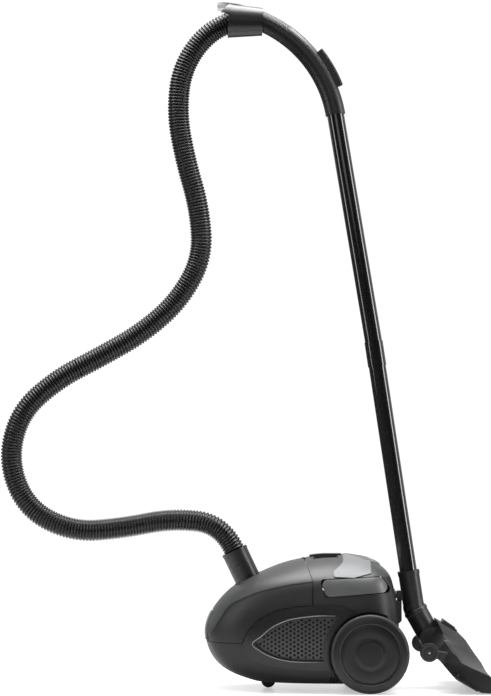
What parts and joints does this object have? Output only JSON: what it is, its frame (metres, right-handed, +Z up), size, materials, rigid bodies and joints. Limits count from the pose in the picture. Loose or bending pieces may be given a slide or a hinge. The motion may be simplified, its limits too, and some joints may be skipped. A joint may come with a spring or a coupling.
{
  "type": "vacuum cleaner",
  "caption": "Canister vacuum cleaner parked upright: corrugated hose, curved handle, tube wand on the rear hook, floor nozzle, big rear wheels and perforated side grilles.",
  "frame": {"origin": "centre of the object's base on the floor, measured without the hose", "axes": "+X from the nose to the rear and the parked wand, +Z up, Y across; the part is symmetric in form about the Y = 0 plane"},
  "size_m": [0.8939, 0.256, 1.2668],
  "materials": {
    "charcoal_shell": "satin moulded charcoal plastic",
    "grille_plastic": "fine moulded grille, matte",
    "trim_plastic": "semi-gloss moulded frame",
    "pad_plastic": "lighter satin plastic",
    "inner_plastic": "plain inner moulding",
    "filter_foam": "open-cell foam",
    "bag_paper": "filter paper",
    "bag_board": "pressed board",
    "stator_steel": "laminated steel",
    "steel": "plain steel",
    "aluminium_fan": "pressed sheet",
    "black_plastic": "matte black plastic",
    "black_rubber": "soft rubber",
    "silver_trim": "silver-painted plastic",
    "hose_plastic": "corrugated flexible plastic",
    "window_tint": "dark tinted window",
    "wheel_plastic": "satin moulded wheel",
    "tread_rubber": "soft ribbed band",
    "tube_gloss": "gloss black enamel",
    "nozzle_plastic": "satin black plastic",
    "bristle_black": "nylon bristle"
  },
  "bodies": {
    "canister": {"lower_housing": "charcoal_shell", "rear_housing": "charcoal_shell", "grilles": "grille_plastic", "grille_trims": "trim_plastic", "exhaust_filters": "filter_foam", "bulkhead": "inner_plastic", "motor_filter": "filter_foam", "motor_case": "inner_plastic", "motor_stator": "stator_steel", "motor_bearings": "stator_steel", "reel_bracket": "inner_plastic", "dust_bag": "bag_paper", "bag_collar": "bag_board", "wheel_axles": "steel", "park_rail": "black_plastic", "cord_gland": "black_rubber", "housing_screws": "steel", "handle_well": "black_plastic", "carry_handle": "charcoal_shell", "top_insert": "silver_trim", "speed_board": "inner_plastic", "hinge_pin": "steel", "hose_lower": "hose_plastic", "hose_upper": "hose_plastic"},
    "lid": {"front_hood": "charcoal_shell", "intake_socket": "black_plastic", "intake_seal": "black_rubber", "indicator_window": "window_tint"},
    "latch": {"lid_latch": "silver_trim"},
    "cuff": {"hose_cuff": "black_plastic"},
    "cuff_button_left": {"cuff_button_left": "black_plastic"},
    "cuff_button_right": {"cuff_button_right": "black_plastic"},
    "wheel_left": {"wheel_left": "wheel_plastic", "tread_left": "tread_rubber", "hub_cap_left": "wheel_plastic"},
    "wheel_right": {"wheel_right": "wheel_plastic", "tread_right": "tread_rubber", "hub_cap_right": "wheel_plastic"},
    "castor_fork": {"castor_fork": "black_plastic"},
    "castor_wheel": {"castor_wheel": "tread_rubber"},
    "power_pad": {"power_pad": "pad_plastic"},
    "rewind_pad": {"rewind_pad": "pad_plastic"},
    "power_dial": {"power_dial": "silver_trim"},
    "motor_rotor": {"motor_rotor": "steel", "motor_fan": "aluminium_fan"},
    "cord_reel": {"cord_reel": "inner_plastic", "wound_cord": "black_rubber"},
    "wand": {"lower_tube": "tube_gloss", "upper_tube": "tube_gloss", "elbow_sleeve": "black_plastic", "handle_grip": "black_plastic", "handle_collar": "black_plastic"},
    "relief_slider": {"relief_slider": "pad_plastic"},
    "neck": {"swivel_neck": "nozzle_plastic"},
    "nozzle": {"nozzle_cover": "nozzle_plastic", "nozzle_base": "black_plastic"},
    "nozzle_pedal": {"nozzle_pedal": "pad_plastic"},
    "brush_strip": {"brush_strip": "bristle_black"},
    "nozzle_wheel_left": {"nozzle_wheel_left": "tread_rubber"},
    "nozzle_wheel_right": {"nozzle_wheel_right": "tread_rubber"}
  },
  "joints": [
    {"name": "lid_hinge", "type": "hinge", "parent": "canister", "child": "lid", "pos_m": [-0.077, 0, 0.235], "axis": [0, 1, 0], "range_deg": [0, 60], "deforming": ["hose_lower"]},
    {"name": "latch_pull", "type": "hinge", "parent": "lid", "child": "latch", "pos_m": [-0.241, 0, 0.136], "axis": [0, 1, 0], "range_deg": [0, 12], "stiffness_Nm_per_rad": 0.4},
    {"name": "cuff_swivel", "type": "hinge", "parent": "lid", "child": "cuff", "pos_m": [-0.1804, 0, 0.2], "axis": [-0.4305, 0, 0.9026], "continuous": true},
    {"name": "cuff_button_left_press", "type": "slide", "parent": "cuff", "child": "cuff_button_left", "axis": [0, 1, 0], "range_m": [0, 0.0015], "stiffness_N_per_m": 600},
    {"name": "cuff_button_right_press", "type": "slide", "parent": "cuff", "child": "cuff_button_right", "axis": [0, -1, 0], "range_m": [0, 0.0015], "stiffness_N_per_m": 600},
    {"name": "wheel_left_spin", "type": "hinge", "parent": "canister", "child": "wheel_left", "pos_m": [0.04, -0.098, 0.0705], "axis": [0, 1, 0], "continuous": true},
    {"name": "wheel_right_spin", "type": "hinge", "parent": "canister", "child": "wheel_right", "pos_m": [0.04, 0.098, 0.0705], "axis": [0, 1, 0], "continuous": true},
    {"name": "castor_swivel", "type": "hinge", "parent": "canister", "child": "castor_fork", "pos_m": [-0.15, 0, 0.036], "axis": [0, 0, 1], "continuous": true},
    {"name": "castor_spin", "type": "hinge", "parent": "castor_fork", "child": "castor_wheel", "pos_m": [-0.142, 0, 0.013], "axis": [0, 1, 0], "continuous": true},
    {"name": "power_pad_press", "type": "slide", "parent": "canister", "child": "power_pad", "axis": [0, 0.9397, -0.342], "range_m": [0, 0.003], "stiffness_N_per_m": 900},
    {"name": "rewind_pad_press", "type": "slide", "parent": "canister", "child": "rewind_pad", "axis": [0, -0.9397, -0.342], "range_m": [0, 0.003], "stiffness_N_per_m": 900},
    {"name": "dial_turn", "type": "hinge", "parent": "canister", "child": "power_dial", "pos_m": [0.022, 0, 0.238], "axis": [0.1736, 0, 0.9848], "range_deg": [0, 270]},
    {"name": "motor_spin", "type": "hinge", "parent": "canister", "child": "motor_rotor", "pos_m": [-0.044, 0.034, 0.096], "axis": [1, 0, 0], "continuous": true},
    {"name": "reel_spin", "type": "hinge", "parent": "canister", "child": "cord_reel", "pos_m": [0.022, -0.052, 0.092], "axis": [0, 1, 0], "continuous": true},
    {"name": "wand_lift", "type": "slide", "parent": "canister", "child": "wand", "axis": [0, 0, 1], "range_m": [0, 0.05], "deforming": ["hose_upper"]},
    {"name": "relief_slide", "type": "hinge", "parent": "wand", "child": "relief_slider", "pos_m": [-0.24458, 0, 1.02084], "axis": [0, 1, 0], "range_deg": [0, 4]},
    {"name": "neck_swivel", "type": "hinge", "parent": "wand", "child": "neck", "pos_m": [0.12789, 0, 0.14373], "axis": [0.4848, 0, -0.8746], "range_deg": [-10, 10]},
    {"name": "nozzle_tilt", "type": "hinge", "parent": "neck", "child": "nozzle", "pos_m": [0.15698, 0, 0.09125], "axis": [0, 1, 0], "range_deg": [-25, 25]},
    {"name": "nozzle_pedal_rock", "type": "hinge", "parent": "nozzle", "child": "nozzle_pedal", "pos_m": [0.18875, 0, 0.10928], "axis": [0, 1, 0], "range_deg": [0, 8]},
    {"name": "brush_drop", "type": "slide", "parent": "nozzle", "child": "brush_strip", "axis": [-0.5, 0, -0.866], "range_m": [0, 0.004]},
    {"name": "nozzle_wheel_left_spin", "type": "hinge", "parent": "nozzle", "child": "nozzle_wheel_left", "pos_m": [0.14649, -0.1, 0.07248], "axis": [0, 1, 0], "continuous": true},
    {"name": "nozzle_wheel_right_spin", "type": "hinge", "parent": "nozzle", "child": "nozzle_wheel_right", "pos_m": [0.14649, 0.1, 0.07248], "axis": [0, 1, 0], "continuous": true}
  ],
  "couplings": [
    {"joint": "brush_drop", "follows": "nozzle_pedal_rock", "m_per_rad": 0.028648}
  ]
}
